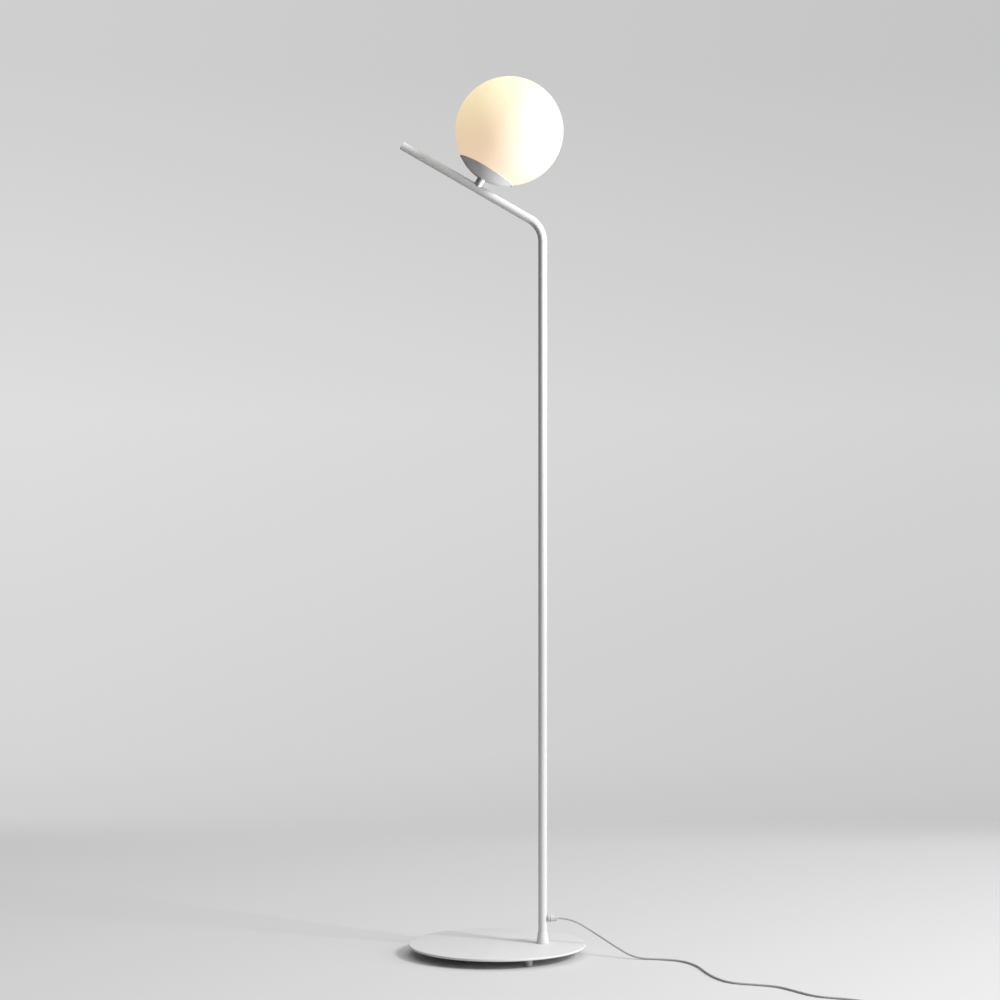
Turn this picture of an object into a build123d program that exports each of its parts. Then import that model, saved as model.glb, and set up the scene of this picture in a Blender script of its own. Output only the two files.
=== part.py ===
from build123d import *
import math
import os

os.makedirs("parts", exist_ok=True)

# A globe floor lamp, in millimetres. The origin is on the floor under the middle of the base
# disc, +X points from the arm's free end towards the pole, +Z up.

# Base
foot_height = 15.0
foot_r = 6.2
foot_circle_r = 131.0
foot_angles = (-64.0, 56.0, 176.0)
plate_r = 163.0
plate_t = 5.0
plate_bevel = 3.4
collar_height = 21.0
collar_low_r = 11.8
collar_high_r = 8.6

# Bent tube: the pole stands up from the disc and the arm leans back over it
tube_r = 8.0
tube_wall = 1.2
pole_x = 84.0
corner_z = 1344.0  # where the axes of pole and arm would cross
bend_r = 48.0
arm_angle = 30.0
arm_length = 298.4
cap_t = 2.0

# Lamp head: measured along its axis from the globe's centre, which is minus towards the arm
stem_along_arm = 141.75
globe_from_arm = 122.299
stem_r = 7.8
stem_bore_r = 5.0
globe_r = 100.0
globe_wall = 3.0
globe_hole_r = 42.0
cup_rim_r = 55.6
cup_outer_r = 91.5
cup_centre = -12.0
cup_wall = 1.5
cup_seat_gap = 0.4
cup_foot = -103.2
cup_floor = -101.4
collar_floor = -95.0
nipple_r = 4.95
thread_r = 37.9  # outside of the collar's thread
thread_gap = 0.4
holder_low = -93.0
insert_top = -66.4
bulb_low = -63.2  # the bulb's centre contact
contact_t = 1.8
insulator_t = 4.0
housing_low = -38.0
bulb_length = 108.0
bulb_r = 30.0
bulb_cap_r = 13.1
screw_shell_r = 13.4
seam_drop = 17.0  # the dome's edge below its centre
led_count = 8
dome_centre = bulb_low + bulb_length - bulb_r
seam = dome_centre - seam_drop
board_low = seam - 3.0

# Mains cord
cord_r = 1.8
grip_z = 66.0
grip_r = 7.2
grip_neck_r = 5.0
grip_body_r = 5.9
grip_nut_r = 5.5
grip_split = 23.0  # from the pole's axis
grip_end = 110.5
floor_line = cord_r + 0.05
cord_route = [
    (grip_end, 0.0, grip_z),
    (136.0, 0.0, grip_z),
    (176.0, -9.0, 43.0),
    (214.0, -30.0, 21.0),
    (251.0, -54.0, floor_line),
    (300.0, -62.0, floor_line),
    (338.0, -80.0, floor_line),
    (360.0, -128.0, floor_line),
    (368.0, -181.0, floor_line),
    (380.0, -235.0, floor_line),
    (403.0, -283.0, floor_line),
    (446.0, -298.0, floor_line),
    (483.0, -314.0, floor_line),
    (509.0, -357.0, floor_line),
    (537.0, -401.0, floor_line),
    (586.0, -419.0, floor_line),
    (624.0, -447.0, floor_line),
    (640.0, -492.0, floor_line),
    (629.0, -531.0, 3.2),
    (609.0, -548.0, 6.0),
    (588.0, -548.0, 6.0),
]

# In-line foot switch, on the cord past the edge of the disc
switch_x = 530.0
switch_y = -548.0
switch_cord_z = 6.0
switch_long = 72.0
switch_wide = 34.0
switch_split = 7.0
switch_high = 19.0
switch_corner = 15.0
switch_wall = 2.0
sleeve_long = 22.0
button_r = 10.8
button_travel = 3.0

# Coil of the cord that isn't laid out, then the plug
coil_x = 400.0
coil_turns = 3.25  # spiralling in on the floor, and as many spiralling out on top
coil_inner_r = 13.7
coil_step = 4.7
coil_layer = 4.5
coil_outer_r = coil_inner_r + coil_turns * coil_step
coil_y = switch_y + coil_outer_r
top_line = floor_line + coil_layer
coil_lead = [
    (switch_x - switch_long / 2 - sleeve_long, switch_y, switch_cord_z),
    (458.0, switch_y, switch_cord_z),
    (435.0, switch_y - 4.0, 2.9),
    (417.0, switch_y, floor_line),
    (coil_x + 2 * cord_r, switch_y, floor_line),
]
plug_z = 6.85
plug_face_x = 286.0
plug_y = switch_y + 7.0
plug_wide = 35.3
plug_thick = 13.7
plug_slab = 9.0
plug_depth = 27.0
pin_spacing = 18.6
pin_r = 2.0
pin_core_r = 1.5
pin_long = 19.0
pin_bare = 9.0
plug_lead = [
    (coil_x - 2 * cord_r, switch_y, top_line),
    (380.0, switch_y, top_line),
    (365.0, plug_y - 2.0, top_line - 1.5),
    (349.0, plug_y, plug_z),
    (plug_face_x + plug_depth + sleeve_long, plug_y, plug_z),
]

slant = math.radians(arm_angle)
arm_dir = Vector(-math.cos(slant), 0, math.sin(slant))
head_dir = Vector(math.sin(slant), 0, math.cos(slant))
corner = Vector(pole_x, 0, corner_z)
arm_end = corner + arm_dir * arm_length
stem_foot = corner + arm_dir * stem_along_arm
globe_centre = stem_foot + head_dir * globe_from_arm
head = Plane(origin=globe_centre, x_dir=-arm_dir, z_dir=head_dir)
plate_low = foot_height
plate_top = foot_height + plate_t


def save(name, *solids):
    shape = solids[0] if len(solids) == 1 else Compound(children=list(solids))
    export_step(shape, f"parts/{name}.step")


def rod(radius, low, high):
    height = high - low
    return Pos(0, 0, low) * Cylinder(radius, height, align=(Align.CENTER, Align.CENTER, Align.MIN))


def ring(outer, inner, low, high):
    return rod(outer, low, high) - rod(inner, low - 1, high + 1)


def turned(*points):
    # a solid of revolution about Z, from (radius, height) corners
    return revolve(make_face(Polyline(*[(r, 0, z) for r, z in points], close=True)), Axis.Z)


def on_circle(centre, radius, r):
    # the point at distance r from the Z axis, on the lower half of a circle centred on that axis
    return Vector(r, 0, centre - math.sqrt(radius**2 - r**2))


def bowl_arc(centre, radius, r_from, r_to):
    middle = (r_from + r_to) / 2
    return ThreePointArc(*[on_circle(centre, radius, r) for r in (r_from, middle, r_to)])


def hexagon(across_flats, bore, low, high):
    body = extrude(RegularPolygon(across_flats / 2, 6, major_radius=False), high - low)
    return Pos(0, 0, low) * body - rod(bore, low - 1, high + 1)


def along_x(shape):
    # turns a shape drawn about Z so that it lies along +X
    return Rot(0, 90, 0) * shape


def hose(radius, path):
    return sweep(Plane(origin=path @ 0, z_dir=path % 0) * Circle(radius), path=path)


# ---- base ----


def base_plate():
    rim = plate_top - plate_bevel
    plate = turned(
        (0, plate_low),
        (plate_r - plate_bevel, plate_low),
        (plate_r, rim),
        (plate_r, plate_top - 0.5),
        (plate_r - 0.5, plate_top),
        (0, plate_top),
    )
    plate -= Pos(pole_x, 0, 0) * rod(5.3, plate_low - 1, plate_top + 1)
    for place in foot_places():
        plate -= place * rod(2.05, plate_low - 1, plate_top - 1)
    return plate


def foot_places():
    return [Rot(0, 0, angle) * Pos(foot_circle_r, 0, 0) for angle in foot_angles]


def foot_pad():
    pad = turned(
        (2.1, 6.5),
        (4.2, 6.5),
        (4.2, 0.0),
        (foot_r - 0.6, 0.0),
        (foot_r, 0.6),
        (foot_r, foot_height),
        (2.1, foot_height),
    )
    return pad


def foot_screw():
    return rod(3.6, 4.0, 6.4) + rod(1.95, 6.4, plate_top - 1.3) - rod(1.2, 3.0, 5.2)


def pole_collar():
    inner = tube_r + 0.05
    cone = turned(
        (inner, plate_top),
        (collar_low_r - 0.4, plate_top),
        (collar_low_r, plate_top + 0.8),
        (collar_high_r, plate_top + collar_height - 0.4),
        (collar_high_r - 0.3, plate_top + collar_height),
        (inner, plate_top + collar_height),
    )
    return Pos(pole_x, 0, 0) * cone


def base_stud():
    stud = rod(tube_r - tube_wall - 0.1, plate_top, plate_top + 25)
    return Pos(pole_x, 0, 0) * (stud + rod(4.9, 5.5, plate_top))


def base_washer():
    return Pos(pole_x, 0, 0) * ring(10.0, 5.2, plate_low - 1.6, plate_low)


def base_nut():
    return Pos(pole_x, 0, 0) * hexagon(17.0, 5.0, plate_low - 9.0, plate_low - 1.6)


# ---- bent tube ----


def bent_tube():
    path = FilletPolyline((pole_x, 0, plate_top), corner, arm_end, radius=bend_r)
    start = Plane(origin=path @ 0, z_dir=path % 0)
    tube = sweep(start * (Circle(tube_r) - Circle(tube_r - tube_wall)), path=path)
    tube -= Pos(pole_x, 0, grip_z) * along_x(rod(4.0, 0, 2 * tube_r))
    tube -= head * rod(4.0, -globe_from_arm, -globe_from_arm + 2 * tube_r)
    return tube


def arm_end_cap():
    inside = tube_r - tube_wall - 0.1
    cap = turned(
        (0, 0),
        (inside - 1.2, 0),
        (inside - 1.2, -8.0),
        (inside, -8.0),
        (inside, 0),
        (tube_r, 0),
        (tube_r, cap_t - 0.5),
        (tube_r - 0.5, cap_t),
        (0, cap_t),
    )
    return Plane(origin=arm_end, x_dir=head_dir, z_dir=arm_dir) * cap


def inner_cable():
    # it lies against the inside of the bend and turns up into the stem
    aside = 4.0
    turn_r = 10.0
    run_x = pole_x - aside
    bend_z = corner_z + (aside * math.sin(slant) - aside) / math.cos(slant)
    path = FilletPolyline(
        (grip_end, 0, grip_z),
        (run_x, 0, grip_z),
        (run_x, 0, bend_z),
        stem_foot - head_dir * aside,
        globe_centre + head_dir * (holder_low + 9),
        radius=[turn_r, bend_r - aside, turn_r],
    )
    return hose(cord_r, path)


# ---- cord grip on the pole ----


def grip_body():
    # a short neck out of the pole, two rings, then the body that the nut screws on
    body = turned(
        (2.1, tube_r - 2.0),
        (grip_neck_r, tube_r - 2.0),
        (grip_neck_r, tube_r + 1.4),
        (grip_r, tube_r + 1.4),
        (grip_r, 12.6),
        (grip_r - 0.9, 13.1),
        (grip_r - 0.9, 13.9),
        (grip_r, 14.4),
        (grip_r, 16.2),
        (grip_body_r, 16.9),
        (grip_body_r, grip_split),
        (2.1, grip_split),
    )
    body = Pos(pole_x, 0, grip_z) * along_x(body)
    return body - Pos(pole_x, 0, 0) * rod(tube_r + 0.02, 0, 2 * grip_z)


def grip_nut():
    long = grip_end - pole_x
    nut = turned(
        (2.1, grip_split),
        (grip_nut_r, grip_split),
        (grip_nut_r, long - 0.9),
        (grip_nut_r - 1.1, long),
        (2.1, long),
    )
    return Pos(pole_x, 0, grip_z) * along_x(nut)


# ---- lamp head: stem, cup, collar and lampholder ----


def stem():
    tube = head * ring(stem_r, stem_bore_r, -globe_from_arm, cup_foot)
    arm = Plane(origin=stem_foot, z_dir=arm_dir) * Cylinder(tube_r + 0.02, 6 * stem_r)
    return tube - arm


def nipple():
    return head * ring(nipple_r, 3.0, -globe_from_arm + 9.5, holder_low + 7)


def shade_cup():
    # spun cup: its rim follows the glass, its floor is a wall's thickness inside the outer arc
    seat_r = globe_r + cup_seat_gap
    inner_r = cup_outer_r - cup_wall
    foot_edge = math.sqrt(cup_outer_r**2 - (cup_centre - cup_foot) ** 2)
    floor_edge = math.sqrt(inner_r**2 - (cup_centre - cup_floor) ** 2)
    rim = on_circle(cup_centre, cup_outer_r, cup_rim_r)
    seat_end = math.sqrt(seat_r**2 - rim.Z**2)
    rise = (seat_r**2 - cup_centre**2 - inner_r**2) / (-2 * cup_centre)
    seat_start = math.sqrt(inner_r**2 - rise**2)
    outline = [
        Line((nipple_r + 0.1, 0, cup_foot), (foot_edge, 0, cup_foot)),
        bowl_arc(cup_centre, cup_outer_r, foot_edge, cup_rim_r),
        Line(rim, (seat_end, 0, rim.Z)),
        bowl_arc(0, seat_r, seat_end, seat_start),
        bowl_arc(cup_centre, inner_r, seat_start, floor_edge),
        Line((floor_edge, 0, cup_floor), (nipple_r + 0.1, 0, cup_floor)),
        Line((nipple_r + 0.1, 0, cup_floor), (nipple_r + 0.1, 0, cup_foot)),
    ]
    return head * revolve(make_face(outline), Axis.Z)


def cup_nut():
    return head * hexagon(17.0, nipple_r + 0.1, cup_floor, collar_floor)


def globe_collar():
    # a turned dish whose upright wall carries the globe's thread
    wall = 3.5
    dish = turned(
        (nipple_r + 0.1, collar_floor),
        (34.0, collar_floor),
        (thread_r, -93.3),
        (thread_r, -82.5),
        (thread_r - 0.5, -82.0),
        (thread_r - wall, -82.0),
        (thread_r - wall, -92.2),
        (thread_r - wall - 0.8, holder_low),
        (nipple_r + 0.1, holder_low),
    )
    return head * dish


def lampholder_base():
    outline = [
        Line((nipple_r + 0.1, 0, holder_low), (13.0, 0, holder_low)),
        ThreePointArc((13.0, 0, holder_low), (17.8, 0, -90.8), (19.5, 0, -85.5)),
        Line((19.5, 0, -85.5), (19.5, 0, -70.0)),
        Line((19.5, 0, -70.0), (17.3, 0, -70.0)),
        Line((17.3, 0, -70.0), (17.3, 0, -85.5)),
        ThreePointArc((17.3, 0, -85.5), (16.2, 0, -89.3), (12.6, 0, -90.8)),
        Line((12.6, 0, -90.8), (nipple_r + 0.1, 0, -90.8)),
        Line((nipple_r + 0.1, 0, -90.8), (nipple_r + 0.1, 0, holder_low)),
    ]
    return head * revolve(make_face(outline), Axis.Z)


def lampholder_shell():
    shell = turned(
        (15.6, -70.0),
        (19.5, -70.0),
        (19.5, -68.4),
        (18.6, -67.6),
        (18.0, -43.2),
        (16.8, -41.6),
        (14.2, -41.6),
        (14.2, -43.0),
        (15.6, -43.6),
    )
    return head * shell


def lampholder_insert():
    block = ring(15.3, 2.2, -76.0, insert_top) + ring(17.0, 2.2, -76.0, -70.2)
    for side in (-1, 1):
        block -= Pos(0, side * 9.0, 0) * rod(1.8, -80.0, -72.0)
    return head * block


def terminal_screws():
    return [head * Pos(0, side * 9.0, 0) * rod(1.7, -78.0, -72.2) for side in (-1, 1)]


def screw_shell():
    return head * ring(screw_shell_r + 0.5, screw_shell_r, insert_top, -44.0)


def centre_contact():
    # a sprung tongue that the bulb's contact presses on
    side = Polyline(
        (-6.0, insert_top),
        (-1.5, -64.0),
        (2.5, -64.0),
        (2.5, -63.6),
        (-1.8, -63.6),
        (-7.6, insert_top),
        close=True,
    )
    return head * extrude(Plane.XZ * make_face(side), 2.5, both=True)


# ---- bulb ----


def bulb_contact():
    rise = contact_t - 0.6
    return head * turned(
        (0, bulb_low),
        (2.6, bulb_low),
        (4.4, bulb_low + rise),
        (4.4, bulb_low + contact_t),
        (0, bulb_low + contact_t),
    )


def bulb_insulator():
    low = bulb_low + contact_t
    high = low + insulator_t
    return head * turned((0, low), (5.4, low), (11.0, high - 0.6), (11.0, high), (0, high))


def bulb_cap():
    low = bulb_low + contact_t + insulator_t
    return head * turned(
        (0, low),
        (11.2, low),
        (bulb_cap_r, low + 1.6),
        (bulb_cap_r, housing_low - 2.0),
        (14.0, housing_low),
        (12.6, housing_low),
        (12.4, low + 2.6),
        (0, low + 2.6),
    )


def bulb_housing():
    edge = math.sqrt(bulb_r**2 - seam_drop**2)
    lip = edge - 2.0
    neck = 14.4
    outline = [
        Line((0, 0, housing_low), (neck, 0, housing_low)),
        ThreePointArc((neck, 0, housing_low), (17.9, 0, -20.0), (edge, 0, seam)),
        Line((edge, 0, seam), (lip, 0, seam)),
        Line((lip, 0, seam), (lip, 0, board_low)),
        Line((lip, 0, board_low), (0, 0, board_low)),
        Line((0, 0, board_low), (0, 0, housing_low)),
    ]
    return head * revolve(make_face(outline), Axis.Z)


def led_board():
    board_t = 1.6
    chip = 3.0
    board = ring(21.0, 1.0, board_low, board_low + board_t)
    for i in range(led_count):
        turn = Rot(0, 0, i * 360 / led_count)
        board += turn * Pos(15.0, 0, board_low + board_t + 0.4) * Box(chip, chip, 0.8)
    return head * board


def bulb_dome():
    ball = Pos(0, 0, dome_centre) * (Sphere(bulb_r) - Sphere(bulb_r - 1.4))
    return head * (ball - rod(2 * bulb_r, seam - 2 * bulb_r, seam))


# ---- globe ----


def glass_globe():
    ball = Sphere(globe_r) - Sphere(globe_r - globe_wall)
    return head * (ball - rod(globe_hole_r, -globe_r - 1, 0))


def globe_neck_ring():
    # bonded into the glass, it screws on the collar
    inner = thread_r + thread_gap
    return head * turned(
        (inner, -90.4),
        (globe_hole_r - 0.4, -90.4),
        (globe_hole_r, -90.0),
        (globe_hole_r, -86.6),
        (globe_hole_r - 1.0, -86.0),
        (globe_hole_r - 1.0, -81.0),
        (inner, -81.0),
    )


def globe_seal():
    return head * ring(40.6, thread_r + 0.7, -91.9, -90.4)


# ---- cord, foot switch and plug ----


def cord_radii(points):
    # each arc is as large as its two runs allow
    radii = []
    for before, here, after in zip(points, points[1:], points[2:]):
        run_in = Vector(*here) - Vector(*before)
        run_out = Vector(*after) - Vector(*here)
        half_turn = math.radians(run_in.get_angle(run_out) / 2)
        radii.append(0.45 * min(run_in.length, run_out.length) / math.tan(half_turn))
    return radii


def laid_cord(name, points):
    radii = cord_radii(points)
    path = FilletPolyline(*points, radius=radii)
    tube = hose(cord_r, path)
    full = tube.volume / (math.pi * cord_r**2 * path.length)
    print(f"{name}: {path.length:.0f} mm, radii {[round(r) for r in radii]}, volume {full:.4f}")
    return tube


def coil_point(turn):
    # in on the floor, up a layer in the half turn where it reverses, out on top
    inward = min(turn, coil_turns)
    outward = max(turn - coil_turns - 0.5, 0)
    climb = min(max((turn - coil_turns) / 0.5, 0), 1)
    radius = coil_outer_r - coil_step * (inward - outward)
    angle = -math.pi / 2 - 2 * math.pi * turn
    rise = coil_layer * (1 - math.cos(math.pi * climb)) / 2
    return Vector(
        coil_x + radius * math.cos(angle), coil_y + radius * math.sin(angle), floor_line + rise
    )


def coil_heading(turn, last):
    if turn in (0, last):
        return Vector(-1, 0, 0)
    return (coil_point(turn + 0.04) - coil_point(turn - 0.04)).normalized()


def biarc(start, heading, end, end_heading):
    # two arcs that leave start along heading and reach end along end_heading
    span = end - start
    both = heading + end_heading
    spread = 2 * (1 - heading.dot(end_heading))
    reach = (math.sqrt(span.dot(both) ** 2 + spread * span.dot(span)) - span.dot(both)) / spread
    middle = (start + end + (heading - end_heading) * reach) * 0.5
    first = TangentArc(start, middle, tangent=heading)
    return [first, TangentArc(middle, end, tangent=first % 1)]


def cord_coil():
    turns = 2 * coil_turns + 0.5
    halves = {i / 2 for i in range(round(2 * turns) + 1)}
    marks = sorted(halves | {coil_turns, coil_turns + 0.5})
    points = [coil_point(mark) for mark in marks]
    headings = [coil_heading(mark, turns) for mark in marks]
    tail = Vector(2 * cord_r, 0, 0)
    edges = [Line(points[0] + tail, points[0])]
    for i in range(len(marks) - 1):
        edges += biarc(points[i], headings[i], points[i + 1], headings[i + 1])
    edges.append(Line(points[-1], points[-1] - tail))
    path = Wire(edges)
    tube = hose(cord_r, path)
    straight = math.pi * cord_r**2 * path.length
    full = tube.volume / straight
    print(f"coil: {path.length:.0f} mm, volume {full:.4f}, least gap {coil_gap(path):.2f} mm")
    return tube


def coil_gap(path):
    # least distance between two passes of the tube, over its surface
    count = 900
    line = [path @ (i / count) for i in range(count + 1)]
    spacing = path.length / count
    apart = math.ceil(4 * cord_r / spacing)
    pairs = ((line[i], line[j]) for i in range(count + 1) for j in range(i + apart, count + 1))
    return min((one - other).length for one, other in pairs) - 2 * cord_r


def sleeve():
    # tapered bend relief, from its wide end at 0
    return turned((0, 0), (4.2, 0), (3.9, 3.0), (2.7, sleeve_long), (0, sleeve_long))


def switch_place(shape):
    return Pos(switch_x, switch_y, 0) * shape


def switch_outline(inset=0.0):
    return RectangleRounded(switch_long - 2 * inset, switch_wide - 2 * inset, switch_corner - inset)


def switch_base():
    low = extrude(switch_outline(), switch_split)
    low = chamfer(low.faces().sort_by(Axis.Z)[0].edges(), 0.8)
    low -= Pos(0, 0, switch_wall) * extrude(switch_outline(switch_wall), switch_split)
    for x in switch_screw_xs():
        low += Pos(x, 0, 0) * rod(4.0, 1.0, switch_split)
        low -= Pos(x, 0, 0) * (rod(3.0, -1, 3.0) + rod(1.4, 0, switch_split + 1))
    return switch_place(low)


def switch_cover():
    edge_r = 5.0
    rise = switch_high - switch_split
    outer = Pos(0, 0, switch_split) * extrude(switch_outline(), rise)
    outer = fillet(outer.faces().sort_by(Axis.Z)[-1].edges(), edge_r)
    inner = Pos(0, 0, switch_split - 1) * extrude(switch_outline(switch_wall), rise - 1)
    inner = fillet(inner.faces().sort_by(Axis.Z)[-1].edges(), edge_r - switch_wall)
    cover = outer - inner - rod(button_r + 0.4, switch_split, switch_high + 1)
    for x in switch_screw_xs():
        post = Pos(x, 0, 0) * (rod(3.0, switch_split, switch_high - 2) - rod(1.3, 0, 14.0))
        cover += post
    return switch_place(cover)


def switch_screw_xs():
    return (-switch_long / 2 + 10.0, switch_long / 2 - 10.0)


def switch_screws():
    screw = rod(2.8, 1.0, 2.9) + rod(1.25, 2.9, 13.5)
    return [switch_place(Pos(x, 0, 0) * screw) for x in switch_screw_xs()]


def switch_block():
    block = Pos(0, 0, 6.0) * Box(30.0, 20.0, 8.0)
    return switch_place(block + rod(4.0, 10.0, 11.0))


def switch_button():
    top = switch_high + 4.0
    lip = switch_high - 2.3
    crown = turned(
        (0, lip - 2.2),
        (button_r + 1.4, lip - 2.2),
        (button_r + 1.4, lip),
        (button_r, lip),
        (button_r, top - 1.4),
        (button_r - 0.5, top - 0.5),
        (button_r - 1.8, top),
        (0, top - 0.7),
    )
    return switch_place(crown)


def switch_sleeves():
    end = switch_long / 2
    right = Pos(end, 0, switch_cord_z) * along_x(sleeve())
    left = Rot(0, 0, 180) * right
    return [switch_place(right), switch_place(left)]


def plug_place(shape):
    # plug pieces are drawn with their face at 0 and the cord leaving along +X
    return Pos(plug_face_x, plug_y, plug_z) * shape


def plug_body():
    front = RectangleRounded(plug_wide, plug_thick, 5.5)
    rear = RectangleRounded(13.0, 10.0, 4.5)
    slab = extrude(Plane.YZ * front, plug_slab)
    tail = loft([Plane.YZ.offset(plug_slab) * front, Plane.YZ.offset(plug_depth) * rear])
    return plug_place(slab + tail)


def plug_sleeve():
    return plug_place(Pos(plug_depth, 0, 0) * along_x(sleeve()))


def both_pins(shape):
    aside = pin_spacing / 2
    return [plug_place(Pos(0, y, 0) * Rot(0, -90, 0) * shape) for y in (-aside, aside)]


def plug_pins():
    covered = pin_long - pin_bare
    pin = turned(
        (0, 0),
        (pin_core_r, 0),
        (pin_core_r, covered),
        (pin_r, covered),
        (pin_r, pin_long - 1.0),
        (pin_r - 0.9, pin_long),
        (0, pin_long),
    )
    return both_pins(pin)


def pin_sleeves():
    return both_pins(ring(pin_r, pin_core_r, 0, pin_long - pin_bare))


save("base_plate", base_plate())
save("foot_pads", *[place * foot_pad() for place in foot_places()])
save("foot_screws", *[place * foot_screw() for place in foot_places()])
save("pole_collar", pole_collar())
save("base_stud", base_stud())
save("base_washer", base_washer())
save("base_nut", base_nut())
save("bent_tube", bent_tube())
save("arm_end_cap", arm_end_cap())
save("inner_cable", inner_cable())
save("grip_body", grip_body())
save("grip_nut", grip_nut())
save("stem", stem())
save("nipple", nipple())
save("shade_cup", shade_cup())
save("cup_nut", cup_nut())
save("globe_collar", globe_collar())
save("lampholder_base", lampholder_base())
save("lampholder_shell", lampholder_shell())
save("lampholder_insert", lampholder_insert())
save("terminal_screws", *terminal_screws())
save("screw_shell", screw_shell())
save("centre_contact", centre_contact())
save("bulb_contact", bulb_contact())
save("bulb_insulator", bulb_insulator())
save("bulb_cap", bulb_cap())
save("bulb_housing", bulb_housing())
save("led_board", led_board())
save("bulb_dome", bulb_dome())
save("glass_globe", glass_globe())
save("globe_neck_ring", globe_neck_ring())
save("globe_seal", globe_seal())
save("mains_cord", laid_cord("mains cord", cord_route))
save("switch_base", switch_base())
save("switch_cover", switch_cover())
save("switch_screws", *switch_screws())
save("switch_block", switch_block())
save("switch_button", switch_button())
save("switch_sleeves", *switch_sleeves())
save("coil_lead", laid_cord("coil lead", coil_lead))
save("cord_coil", cord_coil())
save("plug_lead", laid_cord("plug lead", plug_lead))
save("plug_body", plug_body())
save("plug_sleeve", plug_sleeve())
save("plug_pins", *plug_pins())
save("pin_sleeves", *pin_sleeves())
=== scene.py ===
import math

import bmesh
import bpy
from mathutils import Matrix, Vector


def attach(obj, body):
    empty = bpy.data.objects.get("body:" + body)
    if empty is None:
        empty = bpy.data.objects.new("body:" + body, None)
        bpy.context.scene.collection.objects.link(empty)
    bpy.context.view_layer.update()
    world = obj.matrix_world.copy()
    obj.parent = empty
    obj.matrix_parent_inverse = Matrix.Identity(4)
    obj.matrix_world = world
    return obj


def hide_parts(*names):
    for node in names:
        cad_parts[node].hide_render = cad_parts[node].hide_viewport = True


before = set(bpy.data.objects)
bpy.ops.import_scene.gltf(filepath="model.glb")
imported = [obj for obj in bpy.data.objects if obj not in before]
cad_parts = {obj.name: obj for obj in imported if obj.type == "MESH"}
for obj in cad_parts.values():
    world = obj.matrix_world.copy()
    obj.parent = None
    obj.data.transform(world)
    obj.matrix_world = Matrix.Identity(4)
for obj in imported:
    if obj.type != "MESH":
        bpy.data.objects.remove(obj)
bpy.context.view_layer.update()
bpy.ops.object.select_all(action="DESELECT")
print("frame loaded:", len(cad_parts), "nodes")


# small helpers

def mm(value):
    return value / 1000


def hexColour(code):  # sRGB hex to Blender's linear colour, opaque
    parts = [int(code[i:i + 2], 16) / 255 for i in (0, 2, 4)]
    return tuple(p / 12.92 if p <= 0.04045 else ((p + 0.055) / 1.055) ** 2.4 for p in parts) + (1.0,)


def addNode(tree, kind, settings=None, links=None):
    node = tree.nodes.new(kind)
    for key, value in (settings or {}).items():
        if isinstance(key, int) or key in node.inputs:
            node.inputs[key].default_value = value
        else:
            setattr(node, key, value)
    for socket, source in (links or {}).items():
        tree.links.new(source, node.inputs[socket])
    return node


# materials

def newMaterial(name, settings):
    material = bpy.data.materials.new(name)
    material.use_nodes = True
    tree = material.node_tree
    tree.nodes.clear()
    shader = addNode(tree, "ShaderNodeBsdfPrincipled", settings)
    addNode(tree, "ShaderNodeOutputMaterial", links={"Surface": shader.outputs["BSDF"]})
    return material, tree, shader


def surfaceFinish(name, look):
    material, tree, shader = newMaterial(name, look.get("shader", {}))
    coords = addNode(tree, "ShaderNodeTexCoord")
    drawn = addNode(tree, "ShaderNodeMapping", {"Scale": look.get("stretch", (1, 1, 1))},
                    {"Vector": coords.outputs["Object"]})
    cloud = addNode(tree, "ShaderNodeTexNoise", {"Scale": 1000 / look["cloudMm"], "Detail": 3.0},
                    {"Vector": coords.outputs["Object"]})  # slow change of tone and gloss over the piece
    grain = addNode(tree, "ShaderNodeTexNoise", {"Scale": 1000 / look["grainMm"], "Detail": 1.0},
                    {"Vector": drawn.outputs["Vector"]})  # the finest are coarser than real, to show
    tone = addNode(tree, "ShaderNodeMix", {"data_type": "RGBA"}, {"Factor": cloud.outputs["Fac"]})
    tone.inputs[6].default_value = hexColour(look["dark"])
    tone.inputs[7].default_value = hexColour(look["light"])
    low, high = look["roughness"]
    gloss = addNode(tree, "ShaderNodeMapRange", {"From Min": 0.3, "From Max": 0.7,
                                                 "To Min": low, "To Max": high},
                    {"Value": cloud.outputs["Fac"]})
    bump = addNode(tree, "ShaderNodeBump", {"Strength": look["bump"], "Distance": mm(look["depthMm"])},
                   {"Height": grain.outputs["Fac"]})
    tree.links.new(tone.outputs[2], shader.inputs["Base Color"])
    tree.links.new(gloss.outputs["Result"], shader.inputs["Roughness"])
    tree.links.new(bump.outputs["Normal"], shader.inputs["Normal"])
    return material


satinLacquer = surfaceFinish("satinLacquer", {  # sprayed satin lacquer on steel: soft gloss, faint orange peel
    "light": "D5D5D5", "dark": "D1D1D1", "cloudMm": 60, "grainMm": 3.0, "roughness": (0.52, 0.60),
    "bump": 0.06, "depthMm": 0.02, "shader": {"IOR": 1.5},
})
polishedNickel = surfaceFinish("polishedNickel", {  # nickel plate: bright and slightly warm, with turning marks
    "light": "D4D0C9", "dark": "CBC7C0", "cloudMm": 14, "grainMm": 0.8, "stretch": (0.3, 0.3, 3.0),
    "roughness": (0.10, 0.17), "bump": 0.05, "depthMm": 0.02, "shader": {"Metallic": 1.0},
})
satinNickel = surfaceFinish("satinNickel", {  # nickel plate, brushed dull: broad soft highlights
    "light": "D4D0C9", "dark": "CBC7C0", "cloudMm": 14, "grainMm": 0.8, "stretch": (0.3, 0.3, 3.0),
    "roughness": (0.58, 0.66), "bump": 0.05, "depthMm": 0.02, "shader": {"Metallic": 1.0},
})
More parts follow.
